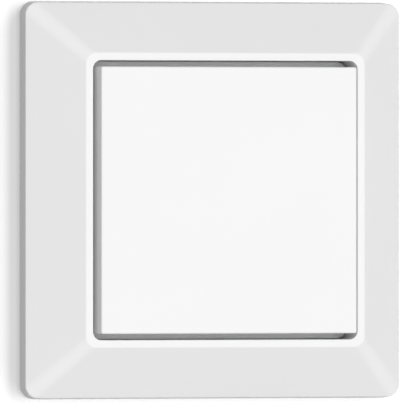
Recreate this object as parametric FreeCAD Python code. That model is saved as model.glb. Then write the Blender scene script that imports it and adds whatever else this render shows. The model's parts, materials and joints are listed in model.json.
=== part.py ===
import FreeCAD, Part
import math
import os

# Battery powered radio wall switch: a square bevelled cover frame around one large rocker.
# Sizes are in millimetres. Each piece is drawn lying on its back: x runs to the right,
# y up the wall and z out of the wall. hang() then stands it up, with the wall at y = 0.

# Cover frame
frame_width = 80.0
frame_corner = 3.0
edge_height = 3.1
edge_taper = 0.25
bevel_corner = 2.55
rim_height = 11.07
rim_width = 1.5
rim_corner = 2.2
rim_rounding = 0.35
opening_width = 56.08
opening_corner = 1.7
opening_rounding = 0.2
frame_wall = 1.8
skirt_wall = 1.2
ledge_thickness = 1.9
relief_width = 0.6
relief_depth = 1.3
frame_rib_wall = 1.0
frame_ribs_per_side = 3
frame_rib_pitch = 20.0

# Rocker
side_groove = 0.94
end_groove = 1.25
cap_thickness = 1.5
cap_wall = 1.2
cap_depth = 7.18
cap_corner = 0.4
cap_rounding = 0.35
carrier_thickness = 1.5
carrier_skin = 0.8
carrier_clearance = 1.58
carrier_rib_wall = 3.5
carrier_rim_wall = 2.0
tilt_degrees = 2.0
pin_radius = 1.1
pin_clearance = 0.05
pin_inset = 0.22
ear_radius = 1.6
ear_wall = 1.0
post_wall = 1.6
post_width = 3.8
post_rise = 0.7
post_side_gap = 0.45
pad_radius = 2.5
pad_gap = 0.06
clip_wall = 0.9
clip_width = 6.0
clip_reach = 0.45
clip_place = 11.0
clip_fit = 0.1

# Mounting plate
plate_gap = 2.7
plate_corner = 3.0
plate_thickness = 1.6
plate_chamfer = 0.4
slot_edge = 5.5
slot_length = 7.0
slot_half_width = 1.75
slot_land = 0.6
pad_width = 18.0
pad_thickness = 0.5
pad_edge = 2.5
pad_corner = 2.0
pad_fit = 0.05
hook_wall = 1.0
hook_width = 8.0
hook_edge = 14.2
hook_barb = 0.5
hook_head = 0.75
hook_fit = 0.05
hook_flex = 0.55

# Transmitter case
case_gap = 0.1
case_wall = 1.2
case_floor = 1.0
case_corner = 2.0
case_bevel = 0.6
case_to_cap = 0.5
case_to_ledge = 0.6
rear_depth = 2.0
flange_thickness = 1.0
flange_gap = 0.2
flange_corner = 1.9
deck_thickness = 1.0
cell_headroom = 0.2
boss_radius = 2.3
boss_inset = 3.2
rear_rib_wall = 1.0
rear_rib_place = 12.0

# Case screws
screw_radius = 0.9
screw_head_radius = 1.8
screw_head_height = 1.1
screw_length = 5.4
screw_fit = 0.02
head_fit = 0.2
cross_slot_width = 0.5
cross_slot_depth = 0.5

# Circuit board
board_thickness = 1.0
board_standoff = 0.3
board_gap = 1.2
notch_gap = 0.4

# Coin cell and its contacts
cell_radius = 10.0
cell_thickness = 3.2
cell_step = 1.1
cell_step_height = 0.35
cell_edge = 5.2
cell_fit = 0.4
cradle_wall = 0.8
contact_thickness = 0.2
contact_width = 5.0
contact_length = 14.0
clip_foot = 1.8

# Plungers, their springs and the snap domes under them
plunger_edge = 6.2
plunger_radius = 2.0
plunger_rise = 0.79
plunger_ball = 6.0
collar_radius = 3.75
collar_thickness = 0.8
collar_headroom = 0.17
tip_radius = 1.0
tip_gap = 0.3
sleeve_wall = 0.9
sleeve_board_gap = 1.0
slide_fit = 0.08
dome_radius = 2.5
dome_height = 0.45
dome_sheet = 0.1
dome_crown_inset = 1.2
spring_radius = 3.1
spring_wire = 0.35
spring_turns = 3
spring_steps_per_turn = 12
spring_fit = 0.03
wire_sides = 6

# Pairing key, its switch and the status light
key_edge_x = 10.2
key_edge_y = 8.7
key_radius = 1.5
key_inset = 0.2
key_flange_radius = 2.3
key_flange = 0.6
key_headroom = 0.3
key_stem_radius = 0.9
key_travel = 0.25
switch_width = 4.4
switch_height = 1.5
switch_corner = 0.4
light_edge = 8.7
light_width = 1.6
light_depth = 0.8
light_height = 0.6
light_hole_radius = 0.9

# Radio parts
shield_length = 10.0
shield_width = 9.0
shield_height = 1.9
shield_sheet = 0.2
shield_corner = 0.5
shield_place_y = 4.0
radio_chip_width = 4.0
controller_width = 5.0
chip_height = 0.85
controller_place_y = -5.6
crystal_length = 3.2
crystal_width = 2.5
crystal_height = 0.8
crystal_gap = 1.0
antenna_wire_radius = 0.3
antenna_bend = 1.2
antenna_bend_steps = 4
antenna_height = 1.6
antenna_boss_gap = 4.7
antenna_edge = 2.9
chip_part_length = 1.0
chip_part_width = 0.5
chip_part_height = 0.45
chip_part_pitch = 2.0
chip_parts_in_row = 5
chip_row_gap = 2.0

# Widths that follow from the frame and its opening
rim_outer = opening_width + 2 * rim_width
plate_width = frame_width - 2 * (frame_wall + plate_gap)
screw_spacing = plate_width - 2 * slot_edge
rocker_width = opening_width - 2 * side_groove
rocker_height = opening_width - 2 * end_groove
cap_inside = rocker_width - 2 * cap_wall
flange_width = opening_width - 2 * flange_gap
case_width = cap_inside - 2 * case_to_cap
case_inside = case_width - 2 * case_wall
ledge_inside = case_width + 2 * case_to_ledge
board_width = case_inside - 2 * board_gap
clip_line = cap_inside / 2 - case_to_cap
carrier_width = 2 * (clip_line - clip_wall - clip_fit)
half_inside = case_inside / 2

# Distances from the wall, in the order of the stack
case_back = plate_thickness + case_gap
floor_front = case_back + case_floor
flange_back = case_back + rear_depth
flange_front = flange_back + flange_thickness
board_back = floor_front + board_standoff
board_front = board_back + board_thickness
cell_back = board_front + contact_thickness
cell_front = cell_back + cell_thickness
deck_back = cell_front + contact_thickness + cell_headroom
deck_front = deck_back + deck_thickness
carrier_back = deck_front + carrier_clearance
carrier_front = carrier_back + carrier_thickness
cap_front = carrier_front + cap_thickness
cap_back = cap_front - cap_depth
pivot_out = carrier_back + pin_inset

# Places across the wall
boss_place = half_inside - boss_inset
plunger_place = half_inside - plunger_edge
plunger_travel = plunger_place * math.sin(math.radians(tilt_degrees))
cell_x = -(half_inside - cell_radius - cell_edge)
pad_place = (plate_width - pad_width) / 2 - pad_edge
hook_line = half_inside - hook_flex - hook_wall
hook_place = half_inside - hook_edge
key_x = half_inside - key_edge_x
key_y = -(half_inside - key_edge_y)
light_x = half_inside - light_edge
light_y = half_inside - light_edge
antenna_x = half_inside - antenna_edge
antenna_length = 2 * (boss_place - boss_radius - antenna_boss_gap)
radio_x = (cell_x + cell_radius + cell_fit + cradle_wall + antenna_x - antenna_wire_radius) / 2
controller_x = radio_x - (crystal_gap + crystal_length) / 2
chip_row_y = light_y + chip_row_gap
post_middle = carrier_width / 2 - carrier_rim_wall - post_wall / 2 + post_side_gap

# Heights of the moving pieces under the rocker
plunger_front = deck_front + plunger_rise
collar_front = deck_back - plunger_travel - collar_headroom
collar_back = collar_front - collar_thickness
tip_back = board_front + dome_height + tip_gap
key_front = deck_front - key_inset
key_flange_front = deck_back - key_headroom
switch_front = board_front + switch_height

# A short overlap used where two shapes are joined or where a cut passes a face
past = 0.5

# The four sides or corners of a square, as signs
signs = (-1, 1)
corners = [(x, y) for x in signs for y in signs]


# Basic shapes

def box(x_low, x_high, y_low, y_high, low, high):
    size = (x_high - x_low, y_high - y_low, high - low)
    return Part.makeBox(*size, FreeCAD.Vector(x_low, y_low, low))


def centred_box(width, height, low, high, x=0.0, y=0.0):
    return box(x - width / 2, x + width / 2, y - height / 2, y + height / 2, low, high)


def disc(radius, low, high, x=0.0, y=0.0):
    return Part.makeCylinder(radius, high - low, FreeCAD.Vector(x, y, low))


def bar_along_x(radius, x_low, x_high, out):
    start = FreeCAD.Vector(x_low, 0, out)
    return Part.makeCylinder(radius, x_high - x_low, start, FreeCAD.Vector(1, 0, 0))


def on_circle(x, y, radius, degrees, out):
    angle = math.radians(degrees)
    return FreeCAD.Vector(x + radius * math.cos(angle), y + radius * math.sin(angle), out)


# A rectangle with round corners, at a distance out from the wall
def outline(width, height, radius, out):
    reach_x = width / 2 - radius
    reach_y = height / 2 - radius
    centres = [(reach_x, reach_y), (-reach_x, reach_y), (-reach_x, -reach_y), (reach_x, -reach_y)]
    ends = []
    edges = []
    for turn, (x, y) in enumerate(centres):
        first, middle, last = [on_circle(x, y, radius, 90 * turn + step, out) for step in (0, 45, 90)]
        if ends:
            edges.append(Part.makeLine(ends[-1], first))
        edges.append(Part.Arc(first, middle, last).toShape())
        ends += [first, last]
    edges.append(Part.makeLine(ends[-1], ends[0]))
    return Part.Wire(edges)


def rounded_block(width, height, radius, low, high, x=0.0, y=0.0):
    face = Part.Face(outline(width, height, radius, low))
    return face.extrude(FreeCAD.Vector(0, 0, high - low)).translated(FreeCAD.Vector(x, y, 0))


def rounded_square(width, radius, low, high):
    return rounded_block(width, width, radius, low, high)


# Straight sided body through square sections, each given as (width, corner radius, out)
def square_loft(sections):
    wires = [outline(width, width, radius, out) for width, radius, out in sections]
    return Part.makeLoft(wires, True, True)


# A flat outline of (across, out) points, swept sideways over a width
def swept_outline(points, width, y=0.0):
    corner_points = [FreeCAD.Vector(across, y - width / 2, out) for across, out in points + points[:1]]
    return Part.Face(Part.makePolygon(corner_points)).extrude(FreeCAD.Vector(0, width, 0))


def edges_at(shape, out):
    near = 1e-4
    return [edge for edge in shape.Edges
            if all(abs(point.z - out) < near for point in edge.discretize(3))]


# A flat outline of (across, out) points, turned once round the z axis
def revolved(points):
    wire = Part.makePolygon([FreeCAD.Vector(across, 0, out) for across, out in points + points[:1]])
    return Part.Face(wire).revolve(FreeCAD.Vector(0, 0, 0), FreeCAD.Vector(0, 0, 1), 360)


def turned(shape, degrees):
    return shape.rotated(FreeCAD.Vector(0, 0, 0), FreeCAD.Vector(0, 0, 1), degrees)


# Cover frame: bevelled shell with a rim round the opening, a skirt behind the rim that stands
# on the mounting plate, a ledge that the case flange holds down, and ribs across its hollow back.
# A channel in the ledge keeps the gap round the flange deep.

def frame_outside():
    shape = square_loft([
        (frame_width, frame_corner, 0.0),
        (frame_width - 2 * edge_taper, bevel_corner, edge_height),
        (rim_outer, rim_corner, rim_height),
    ])
    soft = edges_at(shape, rim_height) + edges_at(shape, edge_height)
    return shape.makeFillet(rim_rounding, soft)


# The hollow follows the bevel at an even wall
def frame_hollow():
    half_edge = frame_width / 2 - edge_taper
    rise = rim_height - edge_height
    run = half_edge - rim_outer / 2
    slope = math.atan2(rise, run)
    inner_half = half_edge - frame_wall
    bend_height = edge_height + frame_wall * math.tan(slope) - frame_wall / math.cos(slope)
    top = rim_height - frame_wall
    top_half = inner_half - (top - bend_height) / math.tan(slope)
    corner = max(bevel_corner - frame_wall, frame_wall / 2)
    return square_loft([
        (frame_width - 2 * frame_wall, corner, -past),
        (2 * inner_half, corner, bend_height),
        (2 * top_half, corner, top),
    ])


def frame_ribs():
    ribs = []
    first = -frame_rib_pitch * (frame_ribs_per_side - 1) / 2
    for index in range(frame_ribs_per_side):
        place = first + index * frame_rib_pitch
        rib = box(opening_width / 2, frame_width / 2, place - frame_rib_wall / 2,
                  place + frame_rib_wall / 2, plate_thickness + case_gap, rim_height)
        ribs += [turned(rib, 90 * side) for side in range(4)]
    return ribs


def cover_frame():
    skirt_width = opening_width + 2 * skirt_wall
    skirt = rounded_square(skirt_width, opening_corner + skirt_wall, plate_thickness, rim_height)
    hollow = frame_hollow().cut([skirt] + frame_ribs())
    opening = rounded_square(opening_width, opening_corner, -past, rim_height + past)
    ledge = rounded_square(opening_width + skirt_wall, opening_corner + skirt_wall / 2,
                           flange_back - ledge_thickness, flange_back)
    channel = rounded_square(opening_width, opening_corner, flange_back - relief_depth, rim_height)
    channel = channel.cut(rounded_square(opening_width - 2 * relief_width, flange_corner, 0, rim_height))
    passage = rounded_square(ledge_inside, case_corner + case_to_ledge, 0, rim_height)
    shell = frame_outside().cut([hollow, opening])
    opening_reach = (opening_width + rim_width) / 2
    opening_edges = [edge for edge in edges_at(shell, rim_height)
                     if max(abs(edge.CenterOfMass.x), abs(edge.CenterOfMass.y)) < opening_reach]
    shell = shell.makeFillet(opening_rounding, opening_edges)
    return shell.fuse(ledge.cut([channel, passage])).removeSplitter()


# Mounting plate: slots for the wall screws, shallow seats for the adhesive pads, and hooks that
# reach through the case floor.

def screw_slot():
    widening = plate_thickness - slot_land
    end_reach = slot_length / 2 - slot_half_width
    wide = slot_half_width + widening
    through = centred_box(2 * end_reach, 2 * slot_half_width, -past, plate_thickness + past)
    shapes = [through]
    for side in signs:
        shapes.append(disc(slot_half_width, -past, plate_thickness + past, side * end_reach))
        cone_base = FreeCAD.Vector(side * end_reach, 0, slot_land)
        shapes.append(Part.makeCone(slot_half_width, wide, widening, cone_base))
    trough = [(-slot_half_width, slot_land), (slot_half_width, slot_land),
              (wide, plate_thickness), (-wide, plate_thickness)]
    shapes.append(turned(swept_outline(trough, 2 * end_reach), 90))
    return shapes[0].fuse(shapes[1:])


def hook(side, place):
    barb_back = floor_front + hook_fit
    barb_front = barb_back + hook_head
    face = hook_line
    points = [(face, plate_thickness - past), (face + hook_wall, plate_thickness - past),
              (face + hook_wall, barb_front), (face, barb_front),
              (face - hook_barb, barb_back + hook_head / 3), (face - hook_barb, barb_back),
              (face, barb_back)]
    return turned(swept_outline(points, hook_width, -side * place), 90 * side)


def pad(width, low, x, y):
    return rounded_block(width, width, pad_corner, low, pad_thickness, x * pad_place, y * pad_place)


def mounting_plate():
    plate = rounded_square(plate_width, plate_corner, 0, plate_thickness)
    plate = plate.makeChamfer(plate_chamfer, edges_at(plate, plate_thickness))
    slots = []
    for side in range(4):
        slot = screw_slot().translated(FreeCAD.Vector(screw_spacing / 2, 0, 0))
        slots.append(turned(slot, 90 * side))
    seats = [pad(pad_width, -past, x, y) for x, y in corners]
    hooks = [hook(side, place) for side in signs for place in (-hook_place, hook_place)]
    return plate.cut(slots + seats).fuse(hooks).removeSplitter()


def adhesive_pads():
    return Part.makeCompound([pad(pad_width - 2 * pad_fit, 0, x, y) for x, y in corners])


# Rear case: a shallow tray with pockets for the hooks, seats for the screw heads and two ribs
# under the board.

def at_bosses(radius, low, high):
    return [disc(radius, low, high, x * boss_place, y * boss_place) for x, y in corners]


def rear_case():
    tray = rounded_square(case_width, case_corner, case_back, flange_back)
    inside = rounded_square(case_inside, case_corner - case_wall / 2, floor_front, flange_back + past)
    tray = tray.cut(inside)
    bosses = at_bosses(boss_radius, case_back, flange_back)
    rib_length = case_inside - 2 * boss_inset - 2 * boss_radius
    ribs = [centred_box(rib_length, rear_rib_wall, case_back, board_back, 0, y * rear_rib_place)
            for y in signs]
    tray = tray.fuse(bosses + ribs)
    pockets = []
    for side in signs:
        for place in (-hook_place, hook_place):
            depth = hook_wall + hook_flex + hook_fit
            pocket = centred_box(depth, hook_width + 2 * head_fit, case_back - past, floor_front + past,
                                 half_inside - depth / 2, place)
            pockets.append(turned(pocket, 90 * side))
    holes = at_bosses(screw_head_radius + head_fit, case_back - past, case_back + screw_head_height)
    holes += at_bosses(screw_radius + head_fit, case_back, flange_back + past)
    tray = tray.cut(pockets + holes)
    soft = [edge for edge in edges_at(tray, case_back) if edge.BoundBox.DiagonalLength > hook_width * 3]
    return tray.makeChamfer(plate_chamfer, soft).removeSplitter()


# Front case: a deep cover with a flange all round. It carries the rocker's bearings, the guides
# of the plungers, the cradle of the coin cell and the screw bosses.

def bearing_post(side):
    middle = side * post_middle
    low = deck_front - deck_thickness / 2
    post = centred_box(post_wall, post_width, low, pivot_out + post_rise, middle)
    root = centred_box(post_wall + past, post_width + 2 * past, low, deck_front + past / 2, middle)
    bore = bar_along_x(pin_radius + pin_clearance, middle - post_wall, middle + post_wall, pivot_out)
    return post.fuse(root).cut(bore)


def plunger_sleeve(side):
    inner = collar_radius + slide_fit
    low = board_front + sleeve_board_gap
    return disc(inner + sleeve_wall, low, deck_back + past, 0, side * plunger_place)


def plunger_bores(side):
    y = side * plunger_place
    return [disc(collar_radius + slide_fit, board_front, deck_back, 0, y),
            disc(plunger_radius + slide_fit, board_front, deck_front + past, 0, y)]


def cell_cradle():
    inner = cell_radius + cell_fit
    ring = disc(inner + cradle_wall, board_front + sleeve_board_gap, deck_back + past, cell_x)
    gate_width = contact_width + 2 * cell_fit
    gate = centred_box(2 * (inner + 2 * cradle_wall), gate_width, board_front, deck_back, cell_x)
    return ring.cut([disc(inner, board_front, deck_front, cell_x), gate])


def front_case():
    body = rounded_square(case_width, case_corner, flange_back, deck_front)
    body = body.makeChamfer(case_bevel, edges_at(body, deck_front))
    flange = rounded_square(flange_width, flange_corner, flange_back, flange_front)
    inside = rounded_square(case_inside, case_corner - case_wall / 2, flange_back - past, deck_back)
    shell = body.fuse(flange).cut(inside)
    bosses = at_bosses(boss_radius, flange_back, deck_back + past)
    sleeves = [plunger_sleeve(side) for side in signs]
    posts = [bearing_post(side) for side in signs]
    shell = shell.fuse(bosses + sleeves + posts + [cell_cradle()])
    cuts = [disc(cell_radius + cell_fit, deck_back - past, deck_front + past, cell_x)]
    for side in signs:
        cuts += plunger_bores(side)
    pilot_top = case_back + screw_head_height + screw_length + past / 2
    cuts += at_bosses(screw_radius + screw_fit, flange_back - past, pilot_top)
    cuts.append(disc(key_radius + slide_fit, deck_back - past, deck_front + past, key_x, key_y))
    cuts.append(disc(light_hole_radius, deck_back - past, deck_front + past, light_x, light_y))
    return shell.cut(cuts).removeSplitter()


# Case screws: four pan heads with a cross recess, driven from the back
def case_screw():
    head_back = case_back + hook_fit
    head_front = case_back + screw_head_height
    head = disc(screw_head_radius, head_back, head_front)
    head = head.makeChamfer(cross_slot_depth / 2, edges_at(head, head_back))
    shank = disc(screw_radius, head_front, head_front + screw_length)
    length = 1.2 * screw_head_radius
    slots = [centred_box(length, cross_slot_width, head_back - past, head_back + cross_slot_depth),
             centred_box(cross_slot_width, length, head_back - past, head_back + cross_slot_depth)]
    return head.fuse(shank).cut(slots)


def case_screws():
    screw = case_screw()
    return Part.makeCompound([
        screw.translated(FreeCAD.Vector(x * boss_place, y * boss_place, 0)) for x, y in corners])


# Circuit board with notches for the screw bosses and the hooks
def circuit_board():
    board = rounded_square(board_width, case_corner / 2, board_back, board_front)
    cuts = at_bosses(boss_radius + notch_gap, board_back - past, board_front + past)
    notch_depth = board_width / 2 - (hook_line - hook_barb - notch_gap)
    for side in signs:
        for place in (-hook_place, hook_place):
            notch = centred_box(2 * notch_depth, hook_width + 2 * notch_gap, board_back - past,
                                board_front + past, board_width / 2, place)
            cuts.append(turned(notch, 90 * side))
    return board.cut(cuts)


# Coin cell: a crimped can with its smaller cap at the back
def coin_cell():
    can = disc(cell_radius, cell_back + cell_step_height, cell_front)
    can = can.makeChamfer(cell_step_height / 2, edges_at(can, cell_front))
    cap = disc(cell_radius - cell_step, cell_back, cell_back + cell_step_height + past)
    return can.fuse(cap).translated(FreeCAD.Vector(cell_x, 0, 0))


# Spring finger on the front of the cell: a foot on the board, a leg and a bent arm
def battery_clip():
    leg = cell_x - cell_radius - cell_fit - contact_thickness
    foot_end = leg - clip_foot
    arm_end = cell_x + contact_width / 2
    arm_out = cell_front
    sheet = contact_thickness
    pieces = [
        box(foot_end, leg, -contact_width / 2, contact_width / 2, board_front, board_front + sheet),
        box(leg - sheet, leg, -contact_width / 2, contact_width / 2, board_front, arm_out + sheet),
        box(leg - sheet, arm_end, -contact_width / 2, contact_width / 2, arm_out, arm_out + sheet),
    ]
    strip = pieces[0].fuse(pieces[1:]).removeSplitter()
    bends = [edge for edge in strip.Edges
             if abs(edge.BoundBox.YLength - contact_width) < 1e-3
             and abs(edge.CenterOfMass.x - (leg - sheet)) < 1e-3
             and edge.CenterOfMass.z > arm_out]
    return strip.makeFillet(sheet * 0.9, bends)


def battery_contact():
    return rounded_block(contact_length, contact_width, contact_width / 3, board_front, cell_back, cell_x)


# Snap dome: a pressed metal cap, shown relaxed
def snap_dome(side):
    rise = dome_height - dome_sheet
    crown = dome_radius - dome_crown_inset
    profile = [(0, rise), (crown, rise), (dome_radius, 0), (dome_radius, dome_sheet),
               (crown, dome_height), (0, dome_height)]
    return revolved(profile).translated(FreeCAD.Vector(0, side * plunger_place, board_front))


# Return spring: an open coil round the plunger tip, between the board and the collar
def return_spring(side):
    low = board_front + spring_wire / 2
    high = collar_back - spring_wire / 2 - spring_fit
    steps = spring_turns * spring_steps_per_turn
    sections = []
    for step in range(steps + 1):
        turn = 360 * step / spring_steps_per_turn
        out = low + (high - low) * step / steps
        ring = []
        for corner in range(wire_sides + 1):
            angle = 2 * math.pi * corner / wire_sides
            across = spring_radius + spring_wire / 2 * math.cos(angle)
            ring.append(on_circle(0, 0, across, turn, out + spring_wire / 2 * math.sin(angle)))
        sections.append(Part.makePolygon(ring))
    coil = Part.makeLoft(sections, True, True)
    return coil.translated(FreeCAD.Vector(0, side * plunger_place, 0))


# Plunger: a round head that the rocker presses, a guided collar and a thin tip over the dome.
# The head's crown follows a ball of the radius plunger_ball.

def crown_drop(across):
    return plunger_ball - math.sqrt(plunger_ball ** 2 - across ** 2)


def plunger(side):
    crown = [(across, plunger_front - crown_drop(across)) for across in (0, plunger_radius / 2, plunger_radius)]
    body = revolved(crown + [
        (plunger_radius, collar_front), (collar_radius, collar_front), (collar_radius, collar_back),
        (tip_radius, collar_back), (tip_radius, tip_back), (0, tip_back)])
    return body.translated(FreeCAD.Vector(0, side * plunger_place, 0))


# Pairing switch on the board and the key that presses it
def pairing_switch():
    body = rounded_block(switch_width, switch_width, switch_corner, board_front, switch_front)
    bore_back = switch_front - key_stem_radius
    body = body.cut(disc(key_stem_radius + slide_fit, bore_back, switch_front + past))
    return body.translated(FreeCAD.Vector(key_x, key_y, 0))


def pairing_button():
    stem_back = switch_front - key_stem_radius + key_travel + slide_fit
    stem = disc(key_stem_radius, stem_back, key_flange_front)
    flange = disc(key_flange_radius, key_flange_front - key_flange, key_flange_front)
    head = disc(key_radius, key_flange_front - past / 2, key_front)
    head = head.makeChamfer(key_inset, edges_at(head, key_front))
    return flange.fuse([stem, head]).translated(FreeCAD.Vector(key_x, key_y, 0))


def status_led():
    body = centred_box(light_width, light_depth, board_front, board_front + light_height / 2)
    lens = centred_box(light_width * 0.6, light_depth, board_front, board_front + light_height)
    lens = lens.makeChamfer(light_height / 6, edges_at(lens, board_front + light_height))
    return body.fuse(lens).translated(FreeCAD.Vector(light_x, light_y, 0))


# Radio parts on the board

def radio_shield():
    top = board_front + shield_height
    can = rounded_block(shield_width, shield_length, shield_corner, board_front, top)
    inside = rounded_block(shield_width - 2 * shield_sheet, shield_length - 2 * shield_sheet,
                           shield_corner - shield_sheet, board_front - past, top - shield_sheet)
    return can.cut(inside).translated(FreeCAD.Vector(radio_x, shield_place_y, 0))


def chip(width, x, y):
    block = centred_box(width, width, board_front, board_front + chip_height)
    block = block.makeChamfer(chip_height / 8, edges_at(block, board_front + chip_height))
    return block.translated(FreeCAD.Vector(x, y, 0))


def crystal():
    x = controller_x + controller_width / 2 + crystal_gap + crystal_length / 2
    can = rounded_block(crystal_length, crystal_width, crystal_height / 2, board_front,
                        board_front + crystal_height)
    return can.translated(FreeCAD.Vector(x, controller_place_y, 0))


# Antenna: a wire bridge along the right edge of the board, bent down at both ends
def antenna_wire():
    bend_out = board_front + antenna_height - antenna_bend
    bend_y = antenna_length / 2 - antenna_bend
    sections = [antenna_ring(-bend_y, board_front, 180)]
    for side in signs:
        for step in range(antenna_bend_steps + 1):
            lean = 90 * step / antenna_bend_steps
            sections.append(antenna_ring(side * bend_y, bend_out, 180 - lean if side < 0 else 90 - lean))
    sections.append(antenna_ring(bend_y, board_front, 0))
    return Part.makeLoft(sections, True, True)


# Ring of the wire where its middle lies at a bend's radius from (y, out), seen at an angle
def antenna_ring(y, out, degrees):
    ring = []
    for corner in range(wire_sides + 1):
        angle = 2 * math.pi * corner / wire_sides
        across = antenna_bend + antenna_wire_radius * math.cos(angle)
        middle = on_circle(y, out, across, degrees, 0)
        ring.append(FreeCAD.Vector(antenna_x + antenna_wire_radius * math.sin(angle), middle.x, middle.y))
    return Part.makePolygon(ring)


def chip_parts():
    first = radio_x - chip_part_pitch * (chip_parts_in_row - 1) / 2
    return Part.makeCompound([
        centred_box(chip_part_width, chip_part_length, board_front, board_front + chip_part_height,
                    first + index * chip_part_pitch, chip_row_y)
        for index in range(chip_parts_in_row)])


# Rocker carrier: a ribbed plate with a pin across a notch at each side, and a pad over each plunger

def carrier_notch(side):
    low = post_middle - post_wall / 2 - post_side_gap
    high = post_middle + post_wall / 2 + post_side_gap
    notch = box(low, high, -post_width / 2 - past, post_width / 2 + past, deck_front, carrier_front + past)
    return notch if side > 0 else turned(notch, 180)


def carrier_pin(side):
    reach = post_wall / 2 + post_side_gap + ear_wall
    middle = side * post_middle
    return bar_along_x(pin_radius, middle - reach, middle + reach, pivot_out)


def carrier_ears(side):
    reach = post_wall / 2 + post_side_gap + ear_wall
    middle = side * post_middle
    return bar_along_x(ear_radius, middle - reach, middle + reach, pivot_out).common(
        centred_box(carrier_width, carrier_width, deck_front, carrier_front))


def rocker_carrier():
    plate = rounded_square(carrier_width, case_corner, carrier_back, carrier_front)
    reach = carrier_width / 2 - carrier_rim_wall - 2 * post_side_gap - post_wall - carrier_rim_wall / 2
    tall = carrier_width / 2 - carrier_rim_wall
    width = reach - carrier_rib_wall
    height = tall - carrier_rib_wall
    floor = carrier_front - carrier_skin
    pocket = rounded_block(width, height, carrier_rim_wall / 2, carrier_back - past, floor)
    pocket_x = carrier_rib_wall + width / 2
    pocket_y = carrier_rib_wall + height / 2
    pockets = [pocket.translated(FreeCAD.Vector(x * pocket_x, y * pocket_y, 0)) for x, y in corners]
    pads = [disc(pad_radius, plunger_front + pad_gap, carrier_front, 0, side * plunger_place)
            for side in signs]
    body = plate.cut(pockets).fuse(pads + [carrier_ears(side) for side in signs])
    body = body.cut([carrier_notch(side) for side in signs])
    return body.fuse([carrier_pin(side) for side in signs]).removeSplitter()


# Rocker cap: the smooth visible cover, with clips that hold the carrier

def cap_clip(side, place):
    inner = clip_line - clip_wall
    barb_front = carrier_back - hook_fit
    barb_back = barb_front - clip_wall * 0.8
    barb_end = inner - clip_reach - clip_fit
    points = [(clip_line, carrier_front + past), (clip_line, barb_back), (inner, barb_back),
              (barb_end, barb_front - clip_wall * 0.3), (barb_end, barb_front), (inner, barb_front),
              (inner, carrier_front + past)]
    clip = swept_outline(points, clip_width, side * place)
    return clip if side > 0 else turned(clip, 180)


def rocker_cap():
    block = rounded_block(rocker_width, rocker_height, cap_corner, cap_back, cap_front)
    block = block.makeFillet(cap_rounding, edges_at(block, cap_front))
    inside = rounded_square(cap_inside, cap_corner, cap_back - past, carrier_front)
    clips = [cap_clip(side, place) for side in signs for place in (-clip_place, clip_place)]
    return block.cut(inside).fuse(clips).removeSplitter()


# Stand the part up against the wall and write each piece
def hang(shape):
    return shape.rotated(FreeCAD.Vector(0, 0, 0), FreeCAD.Vector(1, 0, 0), 90)


pieces = {
    "mounting_plate": mounting_plate(),
    "adhesive_pads": adhesive_pads(),
    "cover_frame": cover_frame(),
    "rear_case": rear_case(),
    "front_case": front_case(),
    "case_screws": case_screws(),
    "circuit_board": circuit_board(),
    "coin_cell": coin_cell(),
    "battery_clip": battery_clip(),
    "battery_contact": battery_contact(),
    "snap_dome_top": snap_dome(1),
    "snap_dome_bottom": snap_dome(-1),
    "return_spring_top": return_spring(1),
    "return_spring_bottom": return_spring(-1),
    "plunger_top": plunger(1),
    "plunger_bottom": plunger(-1),
    "pairing_switch": pairing_switch(),
    "pairing_button": pairing_button(),
    "status_led": status_led(),
    "radio_shield": radio_shield(),
    "radio_chip": chip(radio_chip_width, radio_x, shield_place_y),
    "controller_chip": chip(controller_width, controller_x, controller_place_y),
    "crystal": crystal(),
    "antenna_wire": antenna_wire(),
    "chip_parts": chip_parts(),
    "rocker_carrier": rocker_carrier(),
    "rocker_cap": rocker_cap(),
}

os.makedirs("parts", exist_ok=True)
for name, shape in pieces.items():
    hang(shape).exportStep(f"parts/{name}.step")
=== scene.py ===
import json
import math

import bpy
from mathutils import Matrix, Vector


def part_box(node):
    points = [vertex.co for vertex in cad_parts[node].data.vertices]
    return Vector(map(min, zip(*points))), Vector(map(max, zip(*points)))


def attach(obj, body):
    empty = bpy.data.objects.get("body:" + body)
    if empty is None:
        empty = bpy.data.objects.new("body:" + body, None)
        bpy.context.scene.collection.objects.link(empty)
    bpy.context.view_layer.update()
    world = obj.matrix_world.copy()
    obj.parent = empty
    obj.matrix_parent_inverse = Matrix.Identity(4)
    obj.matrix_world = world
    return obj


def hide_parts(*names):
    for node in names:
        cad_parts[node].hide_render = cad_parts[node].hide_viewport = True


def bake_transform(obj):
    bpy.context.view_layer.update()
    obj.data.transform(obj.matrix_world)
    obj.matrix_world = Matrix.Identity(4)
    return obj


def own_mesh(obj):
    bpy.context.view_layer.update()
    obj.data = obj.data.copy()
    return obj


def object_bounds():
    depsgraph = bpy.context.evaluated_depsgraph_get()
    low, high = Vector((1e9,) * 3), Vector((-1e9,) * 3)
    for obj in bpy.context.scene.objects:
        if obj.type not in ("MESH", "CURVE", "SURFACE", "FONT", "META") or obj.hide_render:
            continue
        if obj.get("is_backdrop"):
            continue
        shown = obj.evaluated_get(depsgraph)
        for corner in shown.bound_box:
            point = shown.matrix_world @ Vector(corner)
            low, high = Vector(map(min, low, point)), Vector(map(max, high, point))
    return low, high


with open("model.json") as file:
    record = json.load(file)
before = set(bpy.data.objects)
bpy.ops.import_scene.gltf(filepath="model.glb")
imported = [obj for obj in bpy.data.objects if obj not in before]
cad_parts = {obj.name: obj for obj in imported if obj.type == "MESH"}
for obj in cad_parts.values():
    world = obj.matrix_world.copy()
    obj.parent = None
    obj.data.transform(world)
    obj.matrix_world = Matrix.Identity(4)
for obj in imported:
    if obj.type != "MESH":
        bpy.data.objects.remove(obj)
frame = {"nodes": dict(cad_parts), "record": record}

# Square radio wall switch on a pale wall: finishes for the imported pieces, finer springs and domes
# inside it, the wall and floor behind and below it, lamps and the camera. Everything is in metres,
# and the wall is at y = 0.


def boxCorners():
    bpy.context.view_layer.update()
    return [list(corner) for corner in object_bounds()]


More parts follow.
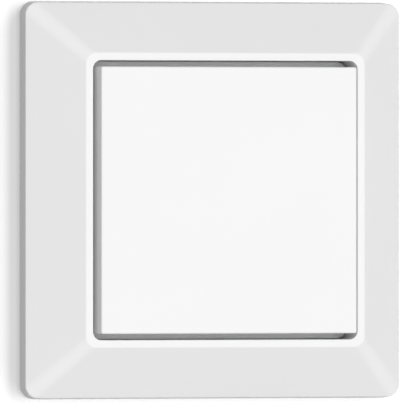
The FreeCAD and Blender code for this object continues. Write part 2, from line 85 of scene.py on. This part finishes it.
cadBox = boxCorners()
print("frame loaded:", len(frame["nodes"]), "pieces")


# Small helpers for node trees

def addNode(tree, kind, inputs, **settings):
    node = tree.nodes.new(kind)
    for name, value in settings.items():
        setattr(node, name, value)
    for name, value in inputs.items():
        if isinstance(value, bpy.types.NodeSocket):
            tree.links.new(value, node.inputs[name])
        else:
            node.inputs[name].default_value = value
    return node


def startMaterial(name):
    material = bpy.data.materials.new(name)
    material.use_nodes = True
    tree = material.node_tree
    tree.nodes.clear()
    shader = addNode(tree, "ShaderNodeBsdfPrincipled", {})
    addNode(tree, "ShaderNodeOutputMaterial", {"Surface": shader.outputs["BSDF"]})
    return material, tree, shader


def turnPlace(tree, where, rotation=(0, 0, 0), stretch=(1, 1, 1)):
    return addNode(tree, "ShaderNodeMapping", {
        "Vector": where, "Rotation": rotation, "Scale": stretch}).outputs["Vector"]


def place(tree, stretch=(1, 1, 1)):
    where = addNode(tree, "ShaderNodeTexCoord", {})
    return turnPlace(tree, where.outputs["Object"], stretch=stretch)


def noise(tree, where, grain, detail=3.0, roughness=0.5):  # grain is a speck's size in metres
    return addNode(tree, "ShaderNodeTexNoise", {
        "Vector": where, "Scale": 1 / grain, "Detail": detail, "Roughness": roughness}).outputs["Fac"]


def cells(tree, where, grain):
    return addNode(tree, "ShaderNodeTexVoronoi", {
        "Vector": where, "Scale": 1 / grain}, feature="F1").outputs["Distance"]


def spread(tree, value, low, high, fromLow=0.3, fromHigh=0.7):  # rescales a pattern to low..high
    return addNode(tree, "ShaderNodeMapRange", {
        "Value": value, "From Min": fromLow, "From Max": fromHigh,
        "To Min": low, "To Max": high}).outputs["Result"]


def blendColour(tree, factor, first, second):
    mix = addNode(tree, "ShaderNodeMix", {0: factor}, data_type="RGBA")
    for index, colour in ((6, first), (7, second)):
        if isinstance(colour, bpy.types.NodeSocket):
            tree.links.new(colour, mix.inputs[index])
        else:
            mix.inputs[index].default_value = (*colour, 1)
    return mix.outputs[2]


def shade(colour, factor):
    return tuple(channel * factor for channel in colour)


def addBump(tree, shader, height, depth, strength=1.0, below=None):  # depth in metres
    inputs = {"Height": height, "Distance": depth, "Strength": strength}
    if below:
        inputs["Normal"] = below
    bump = addNode(tree, "ShaderNodeBump", inputs)
    tree.links.new(bump.outputs["Normal"], shader.inputs["Normal"])
    return bump.outputs["Normal"]


def wire(tree, shader, **sockets):
    names = {"colour": "Base Color", "roughness": "Roughness"}
    for name, socket in sockets.items():
        tree.links.new(socket, shader.inputs[names[name]])


# Finishes

coverPlastic = {
    "colour": (0.9, 0.9, 0.9), "cloud": 0.012, "cloudGrain": 0.02,
    "roughness": (0.30, 0.38), "roughnessGrain": 0.006,
    "peelGrain": 0.0011, "peelDepth": 0.000002, "specular": 0.2,
}


def makeCoverPlastic():  # faint clouds of tone and the fine peel of a smooth moulding
    look = coverPlastic
    material, tree, shader = startMaterial("coverPlasticSatin")
    where = place(tree)
    cloud = spread(tree, noise(tree, where, look["cloudGrain"]), 0, 1)
    wire(tree, shader,
         colour=blendColour(tree, cloud, shade(look["colour"], 1 - look["cloud"]), look["colour"]),
         roughness=spread(tree, noise(tree, where, look["roughnessGrain"], 4), *look["roughness"]))
    addBump(tree, shader, noise(tree, where, look["peelGrain"], 2), look["peelDepth"])
    shader.inputs["Specular IOR Level"].default_value = look["specular"]
    return material


casePlastic = {
    "colour": (0.88, 0.88, 0.88), "speckColour": (0.5, 0.5, 0.5), "speck": 0.05,
    "grain": 0.00032, "grainRoughness": 0.7, "depth": 0.000018,
    "roughness": (0.48, 0.62), "flowGrain": 0.012, "flowTone": 0.03,
}


def makeCasePlastic():  # spark eroded mould finish
    look = casePlastic
    material, tree, shader = startMaterial("casePlasticMatte")
    where = place(tree)
    flow = spread(tree, noise(tree, where, look["flowGrain"], 2), 0, 1)
    grain = noise(tree, where, look["grain"], 2, look["grainRoughness"])
    broad = blendColour(tree, flow, shade(look["colour"], 1 - look["flowTone"]), look["colour"])
    fine = blendColour(tree, spread(tree, grain, 0, look["speck"]), broad, look["speckColour"])
    wire(tree, shader, colour=fine, roughness=spread(tree, grain, *look["roughness"]))
    addBump(tree, shader, grain, look["depth"])
    return material


padFoam = {
    "colour": (0.88, 0.88, 0.86), "poreShadeColour": (0.62, 0.62, 0.60),
    "pore": 0.0005, "poreShadeTone": 0.55, "poreEdge": (0.1, 0.6), "poreDepth": 0.00006,
    "cloudGrain": 0.003, "roughness": (0.8, 0.95),
}


def makePadFoam():  # closed cell foam tape, with shade painted darker into the dips of its pores
    look = padFoam
    material, tree, shader = startMaterial("padFoamTape")
    where = place(tree)
    pore = cells(tree, where, look["pore"])
    soft = noise(tree, where, look["cloudGrain"])
    # painted shade: each pore dip is coloured darker towards its middle
    paintedPoreShade = spread(tree, pore, look["poreShadeTone"], 0, *look["poreEdge"])
    wire(tree, shader,
         colour=blendColour(tree, paintedPoreShade, look["colour"], look["poreShadeColour"]),
         roughness=spread(tree, soft, *look["roughness"]))
    addBump(tree, shader, pore, look["poreDepth"])
    return material


metalLooks = {
    "zincSteel": {"colour": (0.70, 0.70, 0.72), "tint": (0.62, 0.66, 0.74), "grain": 0.0006,
                  "stretch": (1, 1, 1), "roughness": (0.26, 0.42), "depth": 0.000006},
    "cellSteel": {"colour": (0.75, 0.75, 0.76), "tint": (0.66, 0.66, 0.67), "grain": 0.0012,
                  "stretch": (1, 1, 24), "roughness": (0.22, 0.36), "depth": 0.000004},
    "springSteel": {"colour": (0.70, 0.70, 0.70), "tint": (0.60, 0.59, 0.57), "grain": 0.0004,
                    "stretch": (1, 8, 1), "roughness": (0.18, 0.30), "depth": 0.000003},
    "tinnedSteel": {"colour": (0.80, 0.80, 0.80), "tint": (0.68, 0.68, 0.70), "grain": 0.0022,
                    "stretch": (6, 1, 1), "roughness": (0.25, 0.45), "depth": 0.000008},
    "bareWire": {"colour": (0.80, 0.50, 0.30), "tint": (0.55, 0.28, 0.16), "grain": 0.0009,
                 "stretch": (1, 1, 3), "roughness": (0.20, 0.38), "depth": 0.000004},
}


metalWear = {"brushRoughness": 0.6, "tarnishGrains": 5, "tarnish": 0.8}


def makeMetal(name):  # drawn or brushed along one way, with a faint tarnish
    look = metalLooks[name]
    material, tree, shader = startMaterial(name + "Finish")
    brushed = noise(tree, place(tree, look["stretch"]), look["grain"], 4, metalWear["brushRoughness"])
    tarnish = noise(tree, place(tree), look["grain"] * metalWear["tarnishGrains"])
    wire(tree, shader,
         colour=blendColour(tree, spread(tree, tarnish, 0, metalWear["tarnish"]),
                            look["colour"], look["tint"]),
         roughness=spread(tree, brushed, *look["roughness"]))
    addBump(tree, shader, brushed, look["depth"])
    shader.inputs["Metallic"].default_value = 1.0
    return material


boardLaminate = {
    "resist": (0.04, 0.20, 0.10), "track": (0.07, 0.30, 0.13),
    "trackPitch": 0.0011, "trackWidth": 0.22, "trackRun": 13.0,  # width and run in pitches
    "trackEdge": 0.1, "trackShift": 0.37, "trackDepth": 0.00003,
    "field": 0.011, "fieldEdge": (0.499, 0.501), "bareFrom": (0.47, 0.49),
    "weave": 0.00045, "weaveDepth": 0.000012, "weaveStrength": 0.5,
    "roughness": (0.22, 0.36), "roughnessGrain": 0.0008,
}


def makeBoardLaminate():  # solder resist over copper tracks and a glass weave
    look = boardLaminate
    material, tree, shader = startMaterial("boardLaminateResist")
    where = place(tree)
    quarter = math.radians(90)
    level = turnPlace(tree, where, (quarter, 0, 0))
    upright = turnPlace(tree, level, (0, 0, quarter))
    runs = []
    for way in (level, upright):  # lines along the joints of very long bricks
        runs.append(addNode(tree, "ShaderNodeTexBrick", {
            "Vector": way, "Scale": 1 / look["trackPitch"], "Mortar Size": look["trackWidth"] / 2,
            "Mortar Smooth": look["trackEdge"], "Brick Width": look["trackRun"],
            "Row Height": 1.0}, offset=look["trackShift"]).outputs["Fac"])
    field = spread(tree, noise(tree, where, look["field"], 0), 0, 1, *look["fieldEdge"])
    laid = addNode(tree, "ShaderNodeMix", {0: field, 2: runs[0], 3: runs[1]},
                   data_type="FLOAT").outputs[0]
    gate = spread(tree, noise(tree, where, look["field"] / 2, 1), 0, 1, *look["bareFrom"])
    track = addNode(tree, "ShaderNodeMath", {0: laid, 1: gate}, operation="MULTIPLY").outputs[0]
    weave = addNode(tree, "ShaderNodeTexChecker", {
        "Vector": level, "Scale": 1 / look["weave"]}).outputs["Fac"]
    cloud = noise(tree, where, look["roughnessGrain"])
    wire(tree, shader,
         colour=blendColour(tree, track, look["resist"], look["track"]),
         roughness=spread(tree, cloud, *look["roughness"]))
    lower = addBump(tree, shader, weave, look["weaveDepth"], look["weaveStrength"])
    addBump(tree, shader, track, look["trackDepth"], below=lower)
    return material


plainPlastics = {
    "plungerPlastic": {"colour": (0.35, 0.35, 0.36), "other": (0.28, 0.28, 0.29), "grain": 0.0014,
                       "grainRoughness": 0.65, "roughness": (0.30, 0.45), "depth": 0.000006},
    "chipPlastic": {"colour": (0.03, 0.03, 0.03), "other": (0.055, 0.055, 0.055), "grain": 0.00015,
                    "grainRoughness": 0.65, "roughness": (0.55, 0.75), "depth": 0.00001},
}


def makePlainPlastic(name):
    look = plainPlastics[name]
    material, tree, shader = startMaterial(name + "Finish")
    grain = noise(tree, place(tree), look["grain"], 4, look["grainRoughness"])
    wire(tree, shader,
         colour=blendColour(tree, spread(tree, grain, 0, 1), look["colour"], look["other"]),
         roughness=spread(tree, grain, *look["roughness"]))
    addBump(tree, shader, grain, look["depth"])
    return material


lightLens = {
    "colour": (0.9, 0.3, 0.2), "deep": (0.75, 0.16, 0.1), "grain": 0.0006, "roughness": (0.08, 0.2),
    "depth": 0.000004, "clear": 0.7, "index": 1.5,
}


def makeLightLens():
    look = lightLens
    material, tree, shader = startMaterial("lightLensResin")
    cloud = noise(tree, place(tree), look["grain"])
    wire(tree, shader,
         colour=blendColour(tree, spread(tree, cloud, 0, 1), look["colour"], look["deep"]),
         roughness=spread(tree, cloud, *look["roughness"]))
    addBump(tree, shader, cloud, look["depth"])
    shader.inputs["Transmission Weight"].default_value = look["clear"]
    shader.inputs["IOR"].default_value = look["index"]
    return material


finishes = {
    "cover_plastic": makeCoverPlastic(),
    "case_plastic": makeCasePlastic(),
    "pad_foam": makePadFoam(),
    "zinc_steel": makeMetal("zincSteel"),
    "board_laminate": makeBoardLaminate(),
    "cell_steel": makeMetal("cellSteel"),
    "spring_steel": makeMetal("springSteel"),
    "plunger_plastic": makePlainPlastic("plungerPlastic"),
    "chip_plastic": makePlainPlastic("chipPlastic"),
    "light_lens": makeLightLens(),
    "tinned_steel": makeMetal("tinnedSteel"),
    "bare_wire": makeMetal("bareWire"),
}
for entry in frame["record"]["subparts"]:
    for nodeSlot in frame["nodes"][entry["node"]].material_slots:
        nodeSlot.material = finishes[entry["material_slot"]]
print("finishes given:", len(finishes))


# Return springs and snap domes. They stand for the plain ones, which are hidden, and keep their rest
# shape.

def finishPiece(name, mesh, node):
    for polygon in mesh.polygons:
        polygon.use_smooth = True
    piece = bpy.data.objects.new(name, mesh)
    bpy.context.scene.collection.objects.link(piece)
    mesh.materials.append(finishes["spring_steel"])
    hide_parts(node)
    return piece


coil = {"wire": 0.00035, "turns": 3, "flatEnd": 0.12, "ease": 0.5, "stepsPerTurn": 48, "sides": 12}


def makeCoil(side):  # a round wire with flat ends, from the board to just under the plunger's collar
    node = "return_spring_" + side
    low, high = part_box(node)
    wireRadius = coil["wire"] / 2
    radius = (high.x - low.x) / 2 - wireRadius
    middle = (low + high) / 2
    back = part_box("circuit_board")[0].y
    front = low.y - (back - high.y)
    length = back - front - coil["wire"]
    steps = coil["turns"] * coil["stepsPerTurn"]
    sides = coil["sides"]
    points = []
    for step in range(steps + 1):
        share = step / steps
        even = min(1, max(0, (share - coil["flatEnd"]) / (1 - 2 * coil["flatEnd"])))
        smooth = even * even * (3 - 2 * even)
        climb = (1 - coil["ease"]) * even + coil["ease"] * smooth
        angle = 2 * math.pi * coil["turns"] * share
        points.append(Vector((middle.x + radius * math.cos(angle),
                              back - wireRadius - length * climb,
                              middle.z + radius * math.sin(angle))))
    rows = []
    for index, point in enumerate(points):
        ahead = (points[min(index + 1, steps)] - points[max(index - 1, 0)]).normalized()
        outward = Vector((point.x - middle.x, 0, point.z - middle.z)).normalized()
        across = ahead.cross(outward).normalized()
        for corner in range(sides):
            angle = 2 * math.pi * corner / sides
            rows.append(point + wireRadius * (math.cos(angle) * outward + math.sin(angle) * across))
    faces = [tuple(reversed(range(sides))), tuple(steps * sides + corner for corner in range(sides))]
    for step in range(steps):
        first, second = step * sides, (step + 1) * sides
        for corner in range(sides):
            following = (corner + 1) % sides
            faces.append((first + corner, first + following, second + following, second + corner))
    mesh = bpy.data.meshes.new("coil_" + side)
    mesh.from_pydata(rows, [], faces)
    piece = finishPiece("coil_" + side, mesh, node)
    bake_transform(piece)


dome = {"sheet": 0.0001, "rings": 10, "around": 48, "pressed": 0.25}


def makeDome(side):  # a shallow cap of thin sheet
    node = "snap_dome_" + side
    low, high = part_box(node)
    radius = (high.x - low.x) / 2
    crown = high.y - low.y - dome["sheet"]
    middle = (low + high) / 2
    rings, around = dome["rings"], dome["around"]
    corners, faces = [], []
    for lift in (dome["sheet"], 0):  # the front skin, then the one behind it
        tip = len(corners)
        corners.append((middle.x, high.y - crown - lift, middle.z))
        for ring in range(1, rings + 1):
            share = ring / rings
            for step in range(around):
                angle = 2 * math.pi * step / around
                corners.append((middle.x + radius * share * math.cos(angle),
                                high.y - crown * (1 - share * share) - lift,
                                middle.z + radius * share * math.sin(angle)))
        for step in range(around):
            following = (step + 1) % around
            skin = [(tip, tip + 1 + step, tip + 1 + following)]
            for ring in range(rings - 1):
                first = tip + 1 + ring * around
                second = first + around
                skin.append((first + step, second + step, second + following, first + following))
            faces += skin if lift else [face[::-1] for face in skin]
    frontEdge, backEdge = tip - around, len(corners) - around
    for step in range(around):
        following = (step + 1) % around
        faces.append((frontEdge + step, backEdge + step, backEdge + following, frontEdge + following))
    mesh = bpy.data.meshes.new("dome_" + side)
    mesh.from_pydata(corners, [], faces)
    piece = finishPiece("dome_" + side, mesh, node)
    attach(piece, "base")
    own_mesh(piece)


for side in ("top", "bottom"):
    makeCoil(side)
    makeDome(side)
print("coils and domes made")


# Wall and floor. Both show white to the camera, and take the shade of their own lamps. The wall is
# a hair behind the plate, and is clear from behind, so that the back of the switch can be seen.

stageLook = {
    "wallY": 0.0002, "wallWidth": 0.8, "wallTop": 1.2, "floorZ": -0.25, "floorSize": 6.0,
    "wallGlow": 0.53, "wallColour": 0.1, "wallBounce": 0.02,  # bounce is what the switch gets
    "floorGlow": 0.80, "floorColour": 0.2, "floorBounce": 0.42,
}


def flatSheet(name, corners):
    mesh = bpy.data.meshes.new(name)
    mesh.from_pydata(corners, [], [tuple(range(len(corners)))])
    sheet = bpy.data.objects.new(name, mesh)
    bpy.context.scene.collection.objects.link(sheet)
    sheet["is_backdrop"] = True
    return sheet


def backgroundRays(tree):  # 1 for camera, mirror and glass rays
    path = addNode(tree, "ShaderNodeLightPath", {})
    first = addNode(tree, "ShaderNodeMath", {
        0: path.outputs["Is Camera Ray"], 1: path.outputs["Is Glossy Ray"]}, operation="MAXIMUM")
    return addNode(tree, "ShaderNodeMath", {
        0: first.outputs[0], 1: path.outputs["Is Transmission Ray"]}, operation="MAXIMUM").outputs[0]


def paleSurface(kind):  # shows from its front only, and lets the lamps' light pass
    glow, colour, bounce = (stageLook[kind + part] for part in ("Glow", "Colour", "Bounce"))
    material = bpy.data.materials.new("pale" + kind.capitalize())
    material.use_nodes = True
    tree = material.node_tree
    tree.nodes.clear()
    lit = addNode(tree, "ShaderNodeBsdfDiffuse", {"Color": (colour, colour, colour, 1)})
    shine = addNode(tree, "ShaderNodeEmission", {"Strength": glow})
    both = addNode(tree, "ShaderNodeAddShader", {0: lit.outputs[0], 1: shine.outputs[0]})
    soft = addNode(tree, "ShaderNodeEmission", {"Strength": bounce})
    solid = addNode(tree, "ShaderNodeMixShader", {
        0: backgroundRays(tree), 1: soft.outputs[0], 2: both.outputs[0]})
    behind = addNode(tree, "ShaderNodeNewGeometry", {}).outputs["Backfacing"]
    passing = addNode(tree, "ShaderNodeLightPath", {}).outputs["Is Shadow Ray"]
    hidden = addNode(tree, "ShaderNodeMath", {0: behind, 1: passing}, operation="MAXIMUM")
    clear = addNode(tree, "ShaderNodeBsdfTransparent", {})
    mix = addNode(tree, "ShaderNodeMixShader", {
        0: hidden.outputs[0], 1: solid.outputs[0], 2: clear.outputs[0]})
    addNode(tree, "ShaderNodeOutputMaterial", {"Surface": mix.outputs[0]})
    return material


halfWall, halfFloor = stageLook["wallWidth"] / 2, stageLook["floorSize"] / 2
wallY, wallTop, floorZ = stageLook["wallY"], stageLook["wallTop"], stageLook["floorZ"]
wall = flatSheet("wall", [
    (-halfWall, wallY, floorZ), (halfWall, wallY, floorZ),
    (halfWall, wallY, wallTop), (-halfWall, wallY, wallTop)])
floor = flatSheet("floor", [
    (-halfFloor, -halfFloor, floorZ), (halfFloor, -halfFloor, floorZ),
    (halfFloor, halfFloor, floorZ), (-halfFloor, halfFloor, floorZ)])
wall.data.materials.append(paleSurface("wall"))
floor.data.materials.append(paleSurface("floor"))
print("wall and floor made")


# World: white where it is seen, and an even soft light on the object

worldLook = {"seen": 1.0, "light": 0.42}

world = bpy.data.worlds.new("paleRoom")
world.use_nodes = True
bpy.context.scene.world = world
worldTree = world.node_tree
worldTree.nodes.clear()
strength = spread(worldTree, backgroundRays(worldTree), worldLook["light"], worldLook["seen"], 0, 1)
room = addNode(worldTree, "ShaderNodeBackground", {"Color": (1, 1, 1, 1), "Strength": strength})
addNode(worldTree, "ShaderNodeOutputWorld", {"Surface": room.outputs[0]})


# Lamps. Two face the switch from the front and one from behind. The two wall lamps stand at the
# right, a tall one near the wall and a thin one further off. They light only the wall, so that the
# shade of the switch falls to its left. The floor lamp hangs above and lights only the floor.

lampLook = {
    "frontLeft": {
        "at": (-0.78, -2.07, 0), "to": (0, 0, 0), "size": (0.6, 1.3), "power": 17.4,
        "leaves": ["wall", "floor"]},
    "frontRight": {
        "at": (0.75, -2.07, 0), "to": (0, 0, 0), "size": (0.6, 1.3), "power": 16.6,
        "leaves": ["wall", "floor"]},
    "back": {
        "at": (0.1, 2.2, 0), "to": (0, 0, 0), "size": (1.3, 1.3), "power": 50.0,
        "leaves": ["wall", "floor"]},
    "wallShade": {
        "at": (0.72, -0.661, -0.05), "to": (0, -0.661, -0.05), "size": (1.228, 2.65), "power": 305.0,
        "lights": ["wall"]},
    "wallShadeFar": {
        "at": (0.42, -2.548, 0), "to": (0, -2.548, 0), "size": (2.324, 0.05), "power": 270.0,
        "lights": ["wall"]},
    "floorShade": {
        "at": (0.0, -0.1, 1.6), "to": (0, 0, 0), "size": (0.6, 0.6), "power": 28.0,
        "lights": ["floor"]},
}


def makeLamp(name):
    look = lampLook[name]
    lamp = bpy.data.lights.new(name + "Lamp", "AREA")
    lamp.shape = "RECTANGLE"
    lamp.size, lamp.size_y = look["size"]
    lamp.energy = look["power"]
    body = bpy.data.objects.new(name + "Lamp", lamp)
    ahead = Vector(look["to"]) - Vector(look["at"])
    body.location = look["at"]
    body.rotation_euler = ahead.to_track_quat("-Z", "Y").to_euler()
    body.visible_camera = False
    body.visible_glossy = False
    bpy.context.scene.collection.objects.link(body)
    reach = bpy.data.collections.new(name + "Reach")
    for other in look.get("lights", []) + look.get("leaves", []):
        reach.objects.link(bpy.data.objects[other])
    for member in reach.collection_objects:
        member.light_linking.link_state = "INCLUDE" if "lights" in look else "EXCLUDE"
    body.light_linking.receiver_collection = reach


for lampName in lampLook:
    makeLamp(lampName)
print("lamps set:", len(lampLook))


# Camera, level with the switch and left of its middle

cameraLook = {
    "turn": 18.72, "distance": 2.770, "lens": 1227.0, "sensor": 36.0,
    "aimRight": -0.001654, "aimUp": -0.000264,
}

turn = math.radians(cameraLook["turn"])
right = Vector((math.cos(turn), -math.sin(turn), 0))
towards = Vector((-math.sin(turn), -math.cos(turn), 0))
aim = right * cameraLook["aimRight"] + Vector((0, 0, cameraLook["aimUp"]))
cameraData = bpy.data.cameras.new("photoCamera")
cameraData.lens = cameraLook["lens"]
cameraData.sensor_width = cameraLook["sensor"]
cameraData.sensor_fit = "AUTO"
camera = bpy.data.objects.new("photoCamera", cameraData)
camera.location = aim + towards * cameraLook["distance"]
camera.rotation_euler = (-towards).to_track_quat("-Z", "Y").to_euler()
bpy.context.scene.collection.objects.link(camera)
bpy.context.scene.camera = camera
bpy.context.scene.view_settings.view_transform = "Standard"
print("camera set")

{"cadBox": cadBox, "visualBox": boxCorners()}
